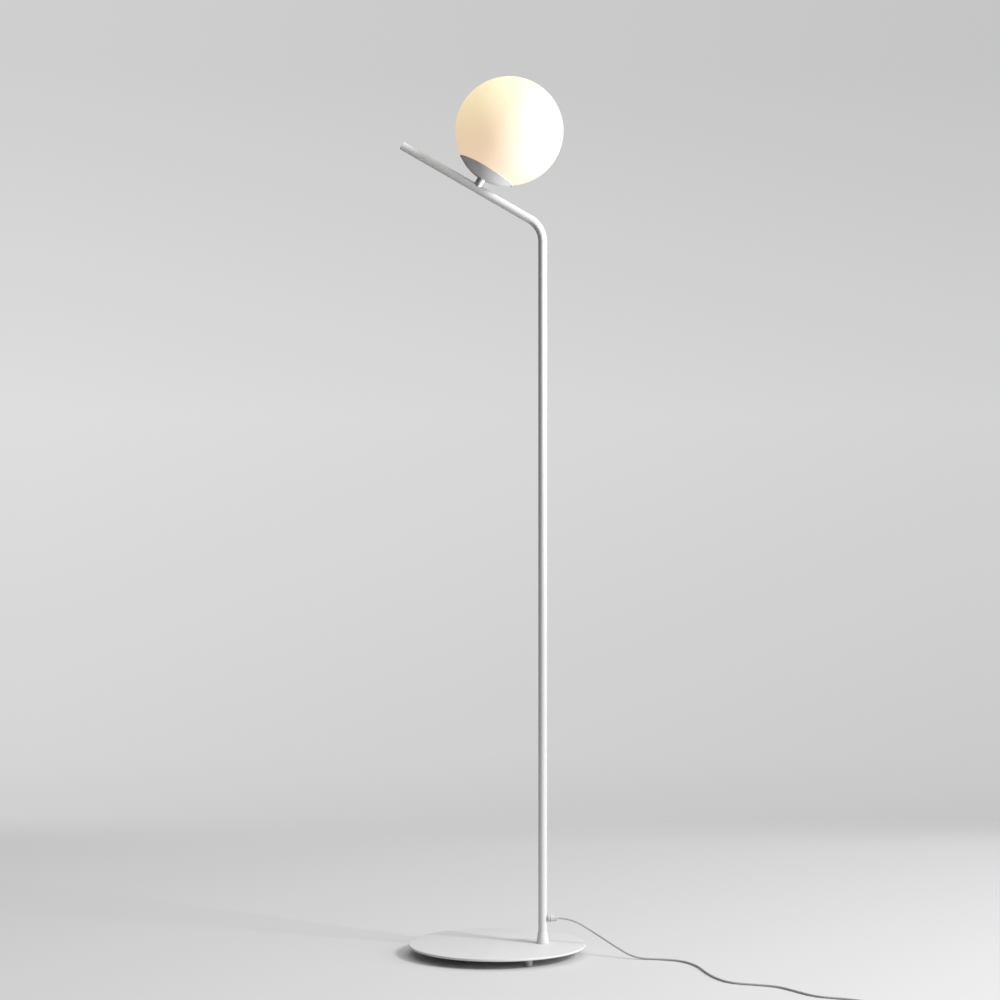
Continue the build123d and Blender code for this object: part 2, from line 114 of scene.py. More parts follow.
zincPlate = surfaceFinish("zincPlate", {  # zinc-plated steel: grey, soft sheen, cloudy
    "light": "B4B6B8", "dark": "9DA0A3", "cloudMm": 3, "grainMm": 0.6, "roughness": (0.28, 0.42),
    "bump": 0.08, "depthMm": 0.02, "shader": {"Metallic": 1.0},
})
castAluminium = surfaceFinish("castAluminium", {  # die-cast aluminium: matt and finely grained
    "light": "C3C4C6", "dark": "B4B6B8", "cloudMm": 8, "grainMm": 0.5, "roughness": (0.38, 0.50),
    "bump": 0.20, "depthMm": 0.03, "shader": {"Metallic": 1.0},
})
nickelledBrass = surfaceFinish("nickelledBrass", {  # the bulb's cap: thin nickel plate, a little yellow
    "light": "D6CEBD", "dark": "CBC2AF", "cloudMm": 6, "grainMm": 0.5, "roughness": (0.20, 0.30),
    "bump": 0.05, "depthMm": 0.02, "shader": {"Metallic": 1.0},
})
drawnBrass = surfaceFinish("drawnBrass", {  # drawn brass contacts: yellow, a little dulled
    "light": "D9BC79", "dark": "C6A562", "cloudMm": 5, "grainMm": 0.5, "roughness": (0.22, 0.34),
    "bump": 0.06, "depthMm": 0.02, "shader": {"Metallic": 1.0},
})
mouldedRubber = surfaceFinish("mouldedRubber", {  # light grey thermoplastic rubber: dull with a fine bloom
    "light": "CFCFCC", "dark": "C3C3C0", "cloudMm": 6, "grainMm": 0.5, "roughness": (0.70, 0.85),
    "bump": 0.25, "depthMm": 0.04,
})
sealSilicone = surfaceFinish("sealSilicone", {  # translucent white silicone: soft and waxy
    "light": "EDEBE5", "dark": "E3E1DB", "cloudMm": 8, "grainMm": 0.8, "roughness": (0.45, 0.60),
    "bump": 0.08, "depthMm": 0.03, "shader": {"Subsurface Weight": 0.2, "Subsurface Scale": 0.002},
})
glassFilledNylon = surfaceFinish("glassFilledNylon", {  # moulded grip: off-white, slightly grainy
    "light": "C6C6C4", "dark": "BDBDBB", "cloudMm": 7, "grainMm": 0.4, "roughness": (0.42, 0.52),
    "bump": 0.18, "depthMm": 0.03,
})
ureaPlastic = surfaceFinish("ureaPlastic", {  # pressed white lampholder resin: hard, clean gloss
    "light": "F0F0EC", "dark": "E9E9E4", "cloudMm": 12, "grainMm": 0.8, "roughness": (0.22, 0.30),
    "bump": 0.04, "depthMm": 0.02,
})
blackGlass = surfaceFinish("blackGlass", {  # the bulb's glass insulator: near black and glossy
    "light": "1B1A1D", "dark": "101012", "cloudMm": 4, "grainMm": 0.6, "roughness": (0.08, 0.14),
    "bump": 0.03, "depthMm": 0.02, "shader": {"IOR": 1.52},
})
bulbPlastic = surfaceFinish("bulbPlastic", {  # white polycarbonate over the bulb's heat sink
    "light": "F2F1EC", "dark": "EAE9E3", "cloudMm": 15, "grainMm": 0.5, "roughness": (0.38, 0.48),
    "bump": 0.10, "depthMm": 0.02, "shader": {"IOR": 1.58},
})
softPvc = surfaceFinish("softPvc", {  # grey PVC cord sheath: dull sheen with faint drawing marks
    "light": "B0B0AF", "dark": "A5A5A4", "cloudMm": 20, "grainMm": 0.7, "roughness": (0.45, 0.58),
    "bump": 0.12, "depthMm": 0.03,
})
sparkedAbs = surfaceFinish("sparkedAbs", {  # grey ABS with a fine spark-eroded texture, even and matt
    "light": "8A8A89", "dark": "828281", "cloudMm": 18, "grainMm": 0.35, "roughness": (0.46, 0.56),
    "bump": 0.35, "depthMm": 0.04,
})
pinSleevePlastic = surfaceFinish("pinSleevePlastic", {  # black nylon on the plug pins' roots
    "light": "232325", "dark": "1A1A1C", "cloudMm": 4, "grainMm": 0.4, "roughness": (0.35, 0.45),
    "bump": 0.08, "depthMm": 0.02,
})


def glowFinish(name, look):  # a white diffuser that is lit from inside
    material = surfaceFinish(name, look)
    shader = next(n for n in material.node_tree.nodes if n.type == "BSDF_PRINCIPLED")
    shader.inputs["Emission Strength"].default_value = look["strength"]
    material.cycles.emission_sampling = "NONE"  # less speckle on the arm beside the globe
    if "glowAbove" not in look:
        shader.inputs["Emission Color"].default_value = hexColour(look["glow"])
        return material
    tree = material.node_tree  # rosier low down by the cup, yellower above
    coords = addNode(tree, "ShaderNodeTexCoord")
    parts = addNode(tree, "ShaderNodeSeparateXYZ", links={"Vector": coords.outputs["Object"]})
    low, high = look["glowHeights"]
    rise = addNode(tree, "ShaderNodeMapRange", {"From Min": low, "From Max": high,
                                                "interpolation_type": "SMOOTHSTEP"},
                   {"Value": parts.outputs["Z"]})
    glow = addNode(tree, "ShaderNodeMix", {"data_type": "RGBA", 6: hexColour(look["glow"]),
                                           7: hexColour(look["glowAbove"])}, {"Factor": rise.outputs["Result"]})
    tree.links.new(glow.outputs[2], shader.inputs["Emission Color"])
    return material


opalGlass = glowFinish("opalGlass", {  # blown opal glass, satin outside: milky, evenly lit and warm
    "light": "A5A29D", "dark": "A19E99", "cloudMm": 90, "grainMm": 25, "roughness": (0.50, 0.58),
    "bump": 0.10, "depthMm": 0.10, "shader": {"IOR": 1.52}, "strength": 0.97,
    "glow": "DFC0A0", "glowAbove": "E7D6A6", "glowHeights": (1.46, 1.60),  # heights in m
})
bulbDiffuser = glowFinish("bulbDiffuser", {  # frosted polycarbonate dome, warm white light
    "light": "F6F1E6", "dark": "F0EADC", "cloudMm": 20, "grainMm": 1.0, "roughness": (0.55, 0.65),
    "bump": 0.05, "depthMm": 0.02, "glow": "FFE0B0", "strength": 2.0,
})
print("materials made")

nodeFinishes = {
    satinLacquer: ("pole_collar", "bent_tube", "arm_end_cap"),
    satinNickel: ("stem",),
    polishedNickel: ("plug_pins",),
    zincPlate: ("base_stud", "base_washer", "base_nut", "nipple", "cup_nut", "terminal_screws",
                "switch_screws"),
    castAluminium: ("led_board",),
    sealSilicone: ("globe_seal",),
    ureaPlastic: ("lampholder_base", "lampholder_shell", "lampholder_insert"),
    drawnBrass: ("centre_contact", "bulb_contact"),
    blackGlass: ("bulb_insulator",),
    bulbPlastic: ("bulb_housing",),
    bulbDiffuser: ("bulb_dome",),
    softPvc: ("inner_cable",),
    sparkedAbs: ("switch_base", "switch_cover", "switch_block"),
    pinSleevePlastic: ("pin_sleeves",),
}
for material, names in nodeFinishes.items():
    for name in names:
        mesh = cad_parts[name].data
        mesh.materials.clear()
        mesh.materials.append(material)


# camera, floor and lights

studio = {
    "cameraAt": (0.00518, -4.4362, 0.815), "pitch": 0.3, "lens": 86.4, "sensor": 36,
    "floorSize": 9.0, "floorColour": "CECECE", "floorRoughness": 0.7,
    "floorNear": 1.35, "floorFar": 2.05,  # the floor fades into the backdrop between these
    "wall": ((-0.13, "CECECE"), (-0.10, "D5D5D5"), (0.04, "DEDEDE"), (0.18, "CFCFCF")),  # painted light and shade on the backdrop by height of view: brightest just above the middle, darker above and below
    "wallTall": 0.2, "wallWide": 0.19,  # how far the view reaches from its middle
    "backdropShadeRight": 0.10,  # painted shade: how much darker the backdrop is on the right
    "airColour": "F4F4F4", "airRises": (0.2, 0.95), "airWide": 0.8,  # light from all round, more from above
    "airLow": 0.05, "airHigh": 1.62, "airLeft": 0.26, "airRight": 1.2,
    "lights": {  # place, aim, size, power and spread in degrees; the narrow one is a spot
        "key": ((4.33, -2.5, 3.5), (0.05, 0, 0.6), (1.2, 1.2), 274, 180),
        "side": ((3.45, -1.25, 1.2), (0.05, 0, 1.3), (1.0, 1.9), 44, 180),
        "card": ((1.9, -0.55, 0.42), (0.0, 0, 1.43), (0.6, 0.6), 280, 36),
    },
}


def makeStudio(s):
    scene = bpy.context.scene
    scene.view_settings.view_transform = "Standard"
    cameraData = bpy.data.cameras.new("camera")
    cameraData.lens, cameraData.sensor_width = s["lens"], s["sensor"]
    camera = bpy.data.objects.new("camera", cameraData)
    scene.collection.objects.link(camera)
    camera.location = s["cameraAt"]
    camera.rotation_euler = (math.radians(90 + s["pitch"]), 0, 0)
    scene.camera = camera

    for name, (place, aim, size, power, spread) in s["lights"].items():
        light = bpy.data.lights.new(name, "AREA" if spread == 180 else "SPOT")
        light.energy = power
        if spread == 180:
            light.shape, light.size, light.size_y = "RECTANGLE", *size
        else:
            light.spot_size, light.spot_blend = math.radians(spread), 1.0
            light.shadow_soft_size = size[0] / 2
        lamp = bpy.data.objects.new(name, light)
        scene.collection.objects.link(lamp)
        lamp.location = place
        lamp.rotation_euler = (Vector(aim) - lamp.location).to_track_quat("-Z", "Y").to_euler()
        lamp.visible_camera = False

    world = bpy.data.worlds.new("studioAir")
    scene.world = world
    world.use_nodes = True
    tree = world.node_tree
    tree.nodes.clear()
    coords = addNode(tree, "ShaderNodeTexCoord")
    parts = addNode(tree, "ShaderNodeSeparateXYZ", links={"Vector": coords.outputs["Generated"]})
    tall, wide = s["wallTall"], s["wallWide"]
    # the backdrop seen by the camera has painted light and shade: a tone ramp by height of view
    rise = addNode(tree, "ShaderNodeMapRange", {"From Min": -tall, "From Max": tall},
                   {"Value": parts.outputs["Z"]})
    wall = addNode(tree, "ShaderNodeValToRGB", links={"Fac": rise.outputs["Result"]})
    stops = wall.color_ramp.elements
    while len(stops) < len(s["wall"]):
        stops.new(0.5)
    for stop, (height, colour) in zip(stops, s["wall"]):
        stop.position, stop.color = (height + tall) / (2 * tall), hexColour(colour)
    # painted shade: the backdrop darkens towards the right
    toRight = addNode(tree, "ShaderNodeMapRange", {"From Min": -wide, "From Max": wide,
                                                   "To Min": 1.0, "To Max": 1.0 - s["backdropShadeRight"]},
                      {"Value": parts.outputs["X"]})
    seen = addNode(tree, "ShaderNodeBackground", links={"Color": wall.outputs["Color"],
                                                        "Strength": toRight.outputs["Result"]})
    start, end = s["airRises"]
    high = addNode(tree, "ShaderNodeMapRange", {"From Min": start, "From Max": end,
                                                "To Min": s["airLow"], "To Max": s["airHigh"]},
                   {"Value": parts.outputs["Z"]})
    across = addNode(tree, "ShaderNodeMapRange", {"From Min": -s["airWide"], "From Max": s["airWide"],
                                                  "To Min": s["airLeft"], "To Max": s["airRight"]},
                     {"Value": parts.outputs["X"]})
    strength = addNode(tree, "ShaderNodeMath", {"operation": "MULTIPLY"},
                       {0: high.outputs["Result"], 1: across.outputs["Result"]})
    given = addNode(tree, "ShaderNodeBackground", {"Color": hexColour(s["airColour"])},
                    {"Strength": strength.outputs["Value"]})
    path = addNode(tree, "ShaderNodeLightPath")
    both = addNode(tree, "ShaderNodeMixShader", links={0: path.outputs["Is Camera Ray"],
                                                       1: given.outputs[0], 2: seen.outputs[0]})
    addNode(tree, "ShaderNodeOutputWorld", links={"Surface": both.outputs[0]})

    bpy.ops.mesh.primitive_plane_add(size=s["floorSize"], location=(0, 0, 0))
    floor = bpy.context.object
    floor.name = "studioFloor"
    material, tree, shader = newMaterial("paintedFloor", {"Roughness": s["floorRoughness"],
                                                          "Base Color": hexColour(s["floorColour"])})
    coords = addNode(tree, "ShaderNodeTexCoord")
    parts = addNode(tree, "ShaderNodeSeparateXYZ", links={"Vector": coords.outputs["Object"]})
    sides = [addNode(tree, "ShaderNodeMath", {"operation": "ABSOLUTE"}, {0: parts.outputs[axis]})
             for axis in "XY"]
    away = addNode(tree, "ShaderNodeMath", {"operation": "MAXIMUM"},
                   {0: sides[0].outputs["Value"], 1: sides[1].outputs["Value"]})
    fade = addNode(tree, "ShaderNodeMapRange", {"From Min": s["floorNear"], "From Max": s["floorFar"],
                                                "interpolation_type": "SMOOTHSTEP"},
                   {"Value": away.outputs["Value"]})
    clear = addNode(tree, "ShaderNodeBsdfTransparent")
    mixed = addNode(tree, "ShaderNodeMixShader", links={0: fade.outputs["Result"], 1: shader.outputs[0],
                                                        2: clear.outputs[0]})
    output = next(n for n in tree.nodes if n.type == "OUTPUT_MATERIAL")
    tree.links.new(mixed.outputs[0], output.inputs["Surface"])
    floor.data.materials.append(material)
    bpy.ops.object.select_all(action="DESELECT")


makeStudio(studio)
print("studio made")


# ways of modelling: an outline is drawn by extruding one point, then spun or screwed round Z

def drawOutline(name, corners, closed):
    bpy.ops.mesh.primitive_plane_add(size=0.002, location=(0, 0, 0))
    piece = bpy.context.object
    piece.name = piece.data.name = name
    bpy.ops.object.mode_set(mode="EDIT")
    bpy.ops.mesh.select_mode(type="VERT")
    bpy.ops.mesh.select_all(action="SELECT")
    bpy.ops.mesh.merge(type="CENTER")
    spots = [Vector((mm(r), 0, mm(z))) for r, z in corners]
    bpy.ops.transform.translate(value=spots[0])
    for before, spot in zip(spots, spots[1:] + (spots[:1] if closed else [])):
        bpy.ops.mesh.extrude_region_move(TRANSFORM_OT_translate={"value": spot - before})
    bpy.ops.mesh.select_all(action="SELECT")
    bpy.ops.mesh.remove_doubles(threshold=1e-6)
    return piece


def pick(piece, kind, test):  # selects vertices or faces by their place or normal
    bpy.ops.mesh.select_mode(type="FACE" if kind == "faces" else "VERT" if kind == "verts" else "EDGE")
    bpy.ops.mesh.select_all(action="DESELECT")
    mesh = bmesh.from_edit_mesh(piece.data)
    for part in getattr(mesh, kind):
        if test(part):
            part.select_set(True)
    mesh.select_flush_mode()
    bmesh.update_edit_mesh(piece.data)


def closeUp():  # seams and poles merged, then the normals outwards
    bpy.ops.mesh.select_all(action="SELECT")
    bpy.ops.mesh.remove_doubles(threshold=1e-6)
    bpy.ops.mesh.normals_make_consistent(inside=False)


def turnPiece(name, corners, closed=False, soften=0.0, steps=96):  # corners are (radius, height) in mm
    piece = drawOutline(name, corners, closed)
    if soften:
        pick(piece, "verts", lambda v: v.co.x > 1e-5)
        bpy.ops.mesh.bevel(offset=mm(soften), offset_type="OFFSET", segments=3, affect="VERTICES",
                           clamp_overlap=True)
    bpy.ops.mesh.select_all(action="SELECT")
    bpy.ops.mesh.spin(steps=steps, angle=2 * math.pi, center=(0, 0, 0), axis=(0, 0, 1))
    closeUp()
    bpy.ops.object.mode_set(mode="OBJECT")
    return piece


def threadRidge(name, section, thread):  # a closed section carried up a right-hand helix
    low = thread["low"] + thread["pitch"] * thread["startTurn"]
    ridge = drawOutline(name, [(r, low + rise) for r, rise in section], True)
    bpy.ops.mesh.select_all(action="SELECT")
    bpy.ops.mesh.edge_face_add()
    bpy.ops.mesh.delete(type="ONLY_FACE")
    bpy.ops.object.mode_set(mode="OBJECT")
    screw = ridge.modifiers.new("thread", "SCREW")
    screw.axis, screw.iterations = "Z", 1
    screw.angle = 2 * math.pi * thread["turns"]
    screw.screw_offset = mm(thread["pitch"] * thread["turns"])
    screw.steps = screw.render_steps = round(48 * thread["turns"])
    bpy.ops.object.modifier_apply(modifier="thread")
    ridge.rotation_euler.z = 2 * math.pi * thread["startTurn"]
    bpy.ops.object.transform_apply(location=True, rotation=True, scale=True)
    bpy.ops.object.mode_set(mode="EDIT")
    bpy.ops.mesh.select_all(action="SELECT")
    bpy.ops.mesh.remove_doubles(threshold=1e-7)
    bpy.ops.mesh.fill_holes(sides=0)
    closeUp()
    bpy.ops.object.mode_set(mode="OBJECT")
    return ridge


def joinTo(piece, *others):
    bpy.ops.object.select_all(action="DESELECT")
    for each in (piece, *others):
        each.select_set(True)
    bpy.context.view_layer.objects.active = piece
    bpy.ops.object.join()
    return piece


def cutAway(piece, *cutters):
    for cutter in cutters:
        cut = piece.modifiers.new("cut", "BOOLEAN")
        cut.operation, cut.solver, cut.object = "DIFFERENCE", "EXACT", cutter
        bpy.ops.object.select_all(action="DESELECT")
        bpy.context.view_layer.objects.active = piece
        piece.select_set(True)
        bpy.ops.object.modifier_apply(modifier="cut")
        bpy.data.objects.remove(cutter)


def settle(piece, finish, body, nodes, place=None, smoothTo=35):
    bpy.ops.object.select_all(action="DESELECT")
    bpy.context.view_layer.objects.active = piece
    piece.select_set(True)
    if place:
        piece.matrix_world = place
        bpy.ops.object.transform_apply(location=True, rotation=True, scale=True)
    bpy.ops.object.shade_smooth_by_angle(angle=math.radians(smoothTo))
    piece.data.materials.clear()
    piece.data.materials.append(finish)
    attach(piece, body)
    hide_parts(*nodes)
    piece.select_set(False)


def copyTo(piece, name, move):  # a copy with its own mesh
    twin = piece.copy()
    twin.data = piece.data.copy()
    twin.name = twin.data.name = name
    bpy.context.scene.collection.objects.link(twin)
    twin.data.transform(move)
    return twin


def arcOf(height, radius, start, end, count):  # a circle about (0, height); angles in degrees from +Z
    angles = [math.radians(start + (end - start) * i / count) for i in range(count + 1)]
    return [(radius * math.sin(a), height + radius * math.cos(a)) for a in angles]


lean, globeX, globeZ = math.radians(30), 22.39035, 1520.78911  # the head leans with the arm
headPlace = Matrix.Translation((mm(globeX), 0, mm(globeZ))) @ Matrix.Rotation(lean, 4, "Y")


# base

base = {
    "radius": 163.0, "low": 15.0, "top": 20.0, "bevel": 3.4, "rimRound": 0.45,
    "poleX": 84.0, "studHole": 5.3,
    "footCircle": 131.0, "footAngles": (-64, 56, 176), "footRadius": 6.2, "footBore": 2.1, "screwHole": 2.05,
}


def makeBase(b):
    rim = b["top"] - b["bevel"]
    plate = turnPiece("basePlate", [
        (0, b["low"]), (b["radius"] - b["bevel"], b["low"]), (b["radius"], rim),
        (b["radius"], b["top"] - 0.5), (b["radius"] - 0.5, b["top"]), (0, b["top"]),
    ], soften=b["rimRound"], steps=192)
    holes = []
    bpy.ops.mesh.primitive_cylinder_add(vertices=48, radius=mm(b["studHole"]), depth=0.02,
                                        location=(mm(b["poleX"]), 0, mm(b["low"])))
    holes.append(bpy.context.object)
    for angle in b["footAngles"]:
        a = math.radians(angle)
        at = (mm(b["footCircle"]) * math.cos(a), mm(b["footCircle"]) * math.sin(a), mm(b["top"] - 6.0))
        bpy.ops.mesh.primitive_cylinder_add(vertices=32, radius=mm(b["screwHole"]), depth=0.01, location=at)
        holes.append(bpy.context.object)
    cutAway(plate, *holes)
    settle(plate, satinLacquer, "stand", ["base_plate"])

    r, bore = b["footRadius"], b["footBore"]
    foot = turnPiece("footPad", [
        (bore, 6.5), (4.2, 6.5), (4.2, 0.0), (r - 0.5, 0.0), (r, 0.6), (r, 3.4), (r - 0.5, 3.8), (r - 0.5, 4.6),
        (r, 5.0), (r, b["low"]), (bore, b["low"]),
    ], closed=True, soften=0.25, steps=64)
    screw = turnPiece("footScrew", [
        (0, 4.0), (2.9, 4.0), (3.6, 4.7), (3.6, 6.4), (1.95, 6.4), (1.95, 18.0), (1.2, 18.7), (0, 18.7),
    ], soften=0.2, steps=48)
    slots = []
    for turn in (0, 90):
        bpy.ops.mesh.primitive_cube_add(size=1, location=(0, 0, mm(4.3)), scale=(mm(3.6), mm(0.8), mm(2.2)),
                                        rotation=(0, 0, math.radians(turn)))
        slots.append(bpy.context.object)
    cutAway(screw, *slots)
    for i, angle in enumerate(b["footAngles"]):
        a = math.radians(angle)
        move = Matrix.Translation((mm(b["footCircle"]) * math.cos(a), mm(b["footCircle"]) * math.sin(a), 0))
        settle(copyTo(foot, f"footPad{i + 1}", move), mouldedRubber, "stand", ["foot_pads"])
        settle(copyTo(screw, f"footScrew{i + 1}", move), zincPlate, "stand", ["foot_screws"])
    bpy.data.objects.remove(foot)
    bpy.data.objects.remove(screw)


makeBase(base)
print("base made")


# cord grip on the pole

grip = {"poleX": 84.0, "height": 66.0, "flange": 7.2, "neck": 5.0, "body": 5.9, "nut": 5.5, "bore": 2.1,
        "start": 5.5, "gapEnd": 9.4, "split": 23.0, "end": 26.5, "ribs": 20, "ribDepth": 0.3, "pole": 8.02}


def makeGrip(g):
    r, nutR, bore = g["flange"], g["nut"], g["bore"]
    place = Matrix.Translation((mm(g["poleX"]), 0, mm(g["height"]))) @ Matrix.Rotation(math.pi / 2, 4, "Y")
    body = turnPiece("gripBody", [
        (bore, g["start"]), (g["neck"], g["start"]), (g["neck"], g["gapEnd"]), (r, g["gapEnd"]), (r, 12.6),
        (r - 0.9, 13.1), (r - 0.9, 13.9), (r, 14.4), (r, 16.2), (g["body"], 16.9), (g["body"], g["split"]),
        (bore, g["split"]),
    ], closed=True, soften=0.25, steps=80)
    bpy.ops.mesh.primitive_cylinder_add(vertices=128, radius=mm(g["pole"]), depth=0.04,
                                        rotation=(0, math.pi / 2, 0))
    cutAway(body, bpy.context.object)
    settle(body, glassFilledNylon, "stand", ["grip_body"], place)
    nut = turnPiece("gripNut", [
        (bore, g["split"]), (nutR - 0.2, g["split"]), (nutR, g["split"] + 0.3), (nutR, g["end"] - 0.9),
        (nutR - 1.1, g["end"]), (bore, g["end"]),
    ], closed=True, steps=2 * g["ribs"])
    bpy.ops.object.mode_set(mode="EDIT")
    low, high = mm(g["split"] + 0.3), mm(g["end"] - 0.9)

    def valley(face):
        c = face.calc_center_median()
        step = math.pi / g["ribs"]
        return (low < c.z < high and c.xy.length > mm(nutR - 0.5)
                and round((math.atan2(c.y, c.x) % (2 * math.pi)) / step - 0.5) % 2 == 0)

    pick(nut, "faces", valley)
    bpy.ops.mesh.inset(thickness=mm(0.2), depth=-mm(g["ribDepth"]), use_individual=True)
    bpy.ops.object.mode_set(mode="OBJECT")
    settle(nut, glassFilledNylon, "stand", ["grip_nut"], place, 20)


makeGrip(grip)
print("grip made")


# cup and globe

cup = {"centre": -12.0, "outer": 91.5, "inner": 90.0, "rim": 55.6, "foot": -103.2, "floor": -101.4,
       "seat": 100.4, "bore": 5.05, "beadAt": (55.05, -85.05), "bead": 0.95}
globe = {"radius": 100.0, "wall": 3.0, "mouth": 42.0, "lip": 0.8}
globeThread = {"pitch": 4.0, "low": -91.8, "startTurn": 0.0, "turns": 2.0}
neckThread = {"pitch": 4.0, "low": -89.8, "startTurn": 0.35, "turns": 1.5}


def makeCup(c):
    def bowl(height, radius, rFrom, rTo, count):
        start, end = (180 - math.degrees(math.asin(r / radius)) for r in (rFrom, rTo))
        return arcOf(height, radius, start, end, count)

    footEdge = math.sqrt(c["outer"]**2 - (c["centre"] - c["foot"])**2)
    floorEdge = math.sqrt(c["inner"]**2 - (c["centre"] - c["floor"])**2)
    rimZ = c["centre"] - math.sqrt(c["outer"]**2 - c["rim"]**2)
    seatEnd = math.sqrt(c["seat"]**2 - rimZ**2)
    x, z = c["beadAt"]
    bead = [(x + c["bead"] * math.cos(math.radians(a)), z + c["bead"] * math.sin(math.radians(a)))
            for a in range(-50, 181, 22)]
    shell = turnPiece("shadeCup", [
        (c["bore"], c["foot"]), *bowl(c["centre"], c["outer"], footEdge, c["rim"] - 0.9, 40), *bead,
        *bowl(0, c["seat"], seatEnd - 0.6, 47.5, 6), *bowl(c["centre"], c["inner"], 47.3, floorEdge, 40),
        (c["bore"], c["floor"]),
    ], closed=True, steps=160)
    settle(shell, satinLacquer, "stand", ["shade_cup"], headPlace)


def makeGlobe(g):
    mouthOut = 180 - math.degrees(math.asin((g["mouth"] + g["lip"]) / g["radius"]))
    inside = g["radius"] - g["wall"]
    mouthIn = 180 - math.degrees(math.asin((g["mouth"] + g["lip"]) / inside))
    lip = [(g["mouth"] + out, z) for out, z in (
        (0.3, -90.35), (0.06, -89.9), (0.02, -89.2), (0.02, -88.6), (0.1, -88.0), (0.4, -87.5))]
    ball = turnPiece("glassGlobe", [
        *arcOf(0, g["radius"], 0, mouthOut, 64), *lip, *arcOf(0, inside, mouthIn, 0, 48),
    ], steps=128)
    settle(ball, opalGlass, "globe", ["glass_globe"], headPlace, 40)

    root, crest = 37.15, 37.9
    dish = turnPiece("globeCollar", [
        (5.05, -95.0), (34.0, -95.0), (root, -93.5), (root, -82.5), (root - 0.4, -82.0), (34.4, -82.0),
        (34.4, -92.2), (33.6, -93.0), (5.05, -93.0),
    ], closed=True, soften=0.3)
    ridge = threadRidge("collarRidge", [
        (root - 0.1, -1.15), (crest, -0.45), (crest, 0.45), (root - 0.1, 1.15),
    ], globeThread)
    settle(joinTo(dish, ridge), castAluminium, "stand", ["globe_collar"], headPlace)
    bore, inner = 38.3, 38.3 - 0.75
    neck = turnPiece("globeNeckRing", [
        (bore, -90.4), (41.6, -90.4), (42.0, -90.0), (42.0, -86.6), (41.0, -86.0), (41.0, -81.0), (bore, -81.0),
    ], closed=True, soften=0.2)
    ridge = threadRidge("neckRidge", [
        (bore + 0.1, 1.05), (inner, 0.35), (inner, -0.35), (bore + 0.1, -1.05),
    ], neckThread)
    settle(joinTo(neck, ridge), castAluminium, "globe", ["globe_neck_ring"], headPlace)


makeCup(cup)
makeGlobe(globe)
print("cup and globe made")


# bulb cap and the lampholder's screw shell

capThread = {"pitch": 3.629, "low": -54.6, "startTurn": 0.0, "turns": 3.0}
shellThread = {"pitch": 3.629, "low": -60.0435, "startTurn": 0.0, "turns": 4.0}


def makeScrewFit():
    root = 12.05
    cap = turnPiece("bulbCap", [
        (0, -57.4), (11.2, -57.4), (root, -56.6), (root, -40.6), (13.1, -39.8), (14.0, -38.0), (12.6, -38.0),
        (11.4, -54.8), (0, -54.8),
    ], soften=0.2, steps=72)
    ridge = threadRidge("capRidge", [
        (root - 0.1, -1.5), (root + 0.5, -1.15), (root + 0.9, -0.6), (root + 1.05, 0), (root + 0.9, 0.6),
        (root + 0.5, 1.15), (root - 0.1, 1.5),
    ], capThread)
    settle(joinTo(cap, ridge), nickelledBrass, "bulb", ["bulb_cap"], headPlace, 50)
    inner = 13.4
    shell = turnPiece("screwShell", [
        (inner, -66.4), (inner + 0.5, -66.4), (inner + 0.5, -44.0), (inner, -44.0),
    ], closed=True, soften=0.12, steps=72)
    ridge = threadRidge("shellRidge", [
        (inner + 0.1, 1.2), (inner - 0.45, 0.8), (inner - 0.8, 0.25), (inner - 0.8, -0.25),
        (inner - 0.45, -0.8), (inner + 0.1, -1.2),
    ], shellThread)
    settle(joinTo(shell, ridge), drawnBrass, "stand", ["screw_shell"], headPlace, 50)


makeScrewFit()
print("screw fit made")


# foot switch and plug

relief = {"long": 22.0, "ribs": 6, "first": 3.8, "apart": 2.8, "deep": 0.55, "collar": 3}
switch = {"x": 530.0, "y": -548.0, "cordZ": 6.0, "long": 72.0, "high": 19.0, "button": 10.8,
          "rings": (8.6, 6.2, 3.8)}
plug = {"x": 286.0, "y": -541.0, "z": 6.85, "wide": 35.3, "thick": 13.7, "slab": 9.0, "deep": 27.0,
        "rearWide": 13.0, "rearThick": 10.0, "corner": 4.7, "grooves": (12.0, 15.0, 18.0), "grooveWide": 1.1,
        "grooveDeep": 0.45}


def makeRelief(name, s):  # tapered cord sleeve with rings cut into it, wide end at 0
    def radius(z):
        return 4.2 - 0.1 * z if z < s["collar"] else 3.9 - 1.2 * (z - s["collar"]) / (s["long"] - s["collar"])

    outline = [(0, 0), (radius(0), 0), (radius(s["collar"]), s["collar"])]
    for i in range(s["ribs"]):
        z = s["first"] + i * s["apart"]
        outline += [(radius(z), z), (radius(z) - s["deep"], z + 0.3), (radius(z) - s["deep"], z + 1.0),
                    (radius(z + 1.3), z + 1.3)]
    outline += [(radius(s["long"]), s["long"]), (0, s["long"])]
    return turnPiece(name, outline, soften=0.12, steps=40)


def makeSwitch(s, r):
    sleeve = makeRelief("sleeve", r)
    half = mm(s["long"] / 2)
    for name, side in (("switchSleeveNear", 1), ("switchSleeveFar", -1)):
        place = (Matrix.Translation((mm(s["x"]) + side * half, mm(s["y"]), mm(s["cordZ"])))
                 @ Matrix.Rotation(side * math.pi / 2, 4, "Y"))
        settle(copyTo(sleeve, name, place), sparkedAbs, "stand", ["switch_sleeves"])
    bpy.data.objects.remove(sleeve)
    top, lip, rad = s["high"] + 4.0, s["high"] - 2.3, s["button"]
    outline = [(0, lip - 2.2), (rad + 1.4, lip - 2.2), (rad + 1.4, lip), (rad, lip), (rad, top - 1.2),
               (rad - 1.2, top)]
    for ring in s["rings"]:  # grip rings pressed into the top
        outline += [(ring, top - 0.1), (ring - 0.35, top - 0.65), (ring - 0.95, top - 0.65),
                    (ring - 1.3, top - 0.15)]
    outline.append((0, top - 0.5))
    button = turnPiece("switchButton", outline, soften=0.3, steps=80)
    settle(button, sparkedAbs, "foot_button", ["switch_button"],
           Matrix.Translation((mm(s["x"]), mm(s["y"]), 0)))


